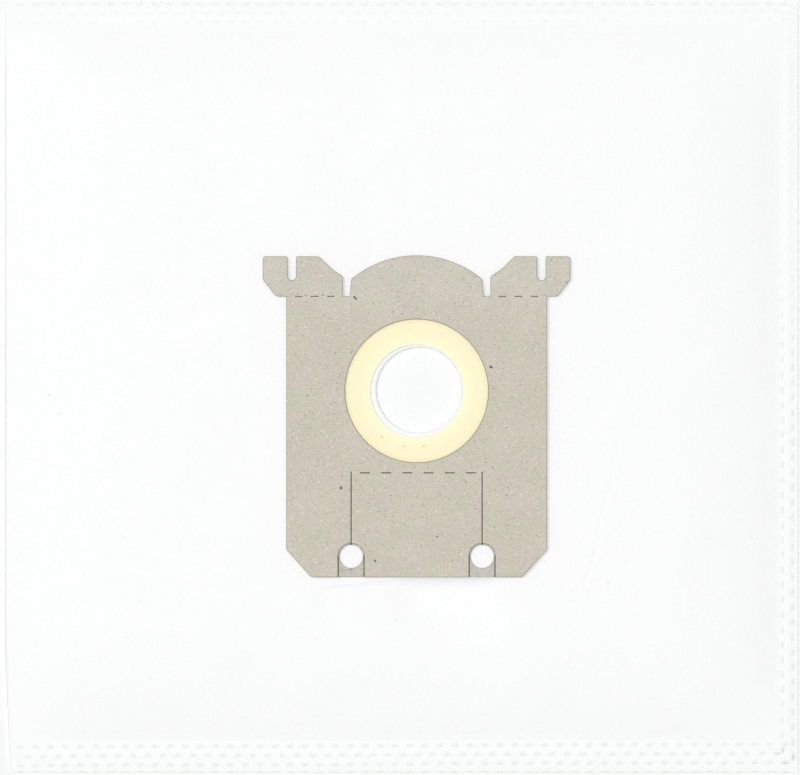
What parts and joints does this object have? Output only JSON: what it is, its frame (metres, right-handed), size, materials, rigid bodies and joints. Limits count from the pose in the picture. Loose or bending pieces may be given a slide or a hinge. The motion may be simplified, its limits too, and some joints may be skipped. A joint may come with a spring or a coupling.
{
  "type": "vacuum dust bag",
  "caption": "Flat fleece dust bag for a vacuum cleaner, folded and welded, with a board collar and a rubber seal around its inlet.",
  "frame": {"origin": "centre of the bag's bounding box at the bottom, on the surface that the back of the bag lies on", "axes": "+X from the folded edge to the side seam, +Y from the pin notches towards the ears, +Z out of the collar's face"},
  "size_m": [0.3048, 0.296, 0.0108],
  "materials": {
    "fleece": "matt white non-woven fleece",
    "board": "matt grey-beige recycled board with specks",
    "seal": "cream rubber, slightly see-through"
  },
  "bodies": {
    "root": {"fleece_bag": "fleece", "back_board": "board", "seal_ring": "seal", "front_board": "board"}
  },
  "joints": []
}
